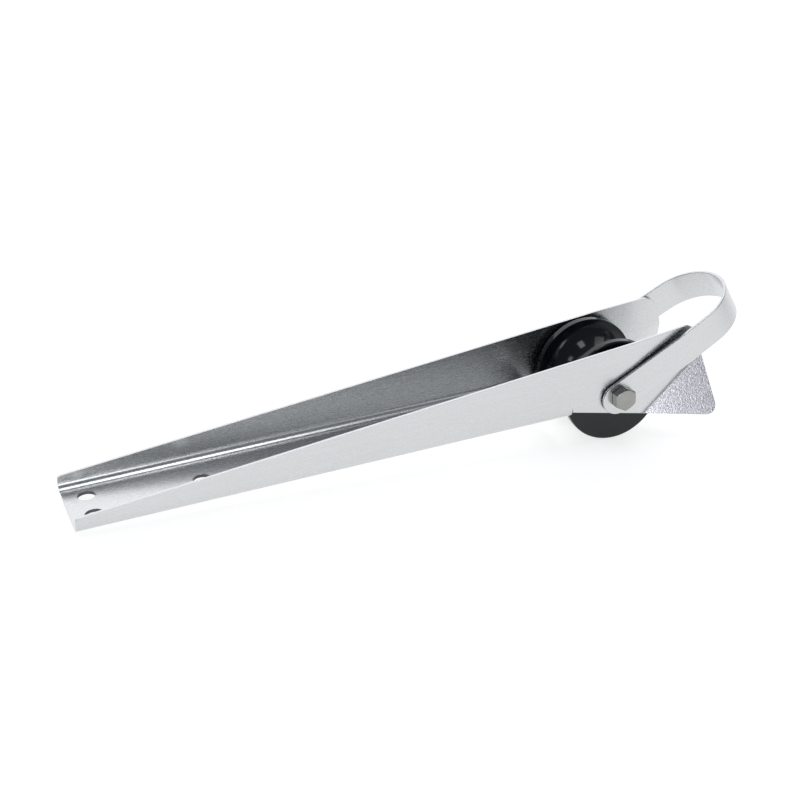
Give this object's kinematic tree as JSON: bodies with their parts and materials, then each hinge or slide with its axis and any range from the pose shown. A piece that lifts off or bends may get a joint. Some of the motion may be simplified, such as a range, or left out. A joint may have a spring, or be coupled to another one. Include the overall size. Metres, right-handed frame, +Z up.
{
  "type": "anchor bow roller",
  "caption": "Long folded stainless channel with flared cheeks, a grooved plastic roller at its bow end and a swinging flat steel bail.",
  "frame": {"origin": "on the deck face under the channel floor, on the centreline, midway between the two aft deck holes", "axes": "+X towards the bow along the channel, +Y to port along the roller bolt, +Z up away from the deck"},
  "size_m": [0.4222, 0.0848, 0.0836],
  "materials": {
    "satin_stainless": "satin rolled sheet with a fine grain",
    "bright_stainless": "bright machined",
    "black_plastic": "glossy turned",
    "white_plastic": "natural moulded"
  },
  "bodies": {
    "frame": {"channel": "satin_stainless", "pivot_bolt": "bright_stainless", "nut_washer": "bright_stainless", "lock_nut": "bright_stainless", "nut_insert_ring": "white_plastic", "roller_sleeve": "bright_stainless", "thrust_washer_port": "white_plastic", "thrust_washer_starboard": "white_plastic"},
    "roller": {"bow_roller": "black_plastic"},
    "bail": {"bail": "satin_stainless"}
  },
  "joints": [
    {"name": "roller_spin", "type": "hinge", "parent": "frame", "child": "roller", "pos_m": [0.317, 0, 0.0089], "axis": [0, 1, 0], "continuous": true},
    {"name": "bail_swing", "type": "hinge", "parent": "frame", "child": "bail", "pos_m": [0.317, 0, 0.0089], "axis": [0, -1, 0], "range_deg": [0, 113]}
  ]
}
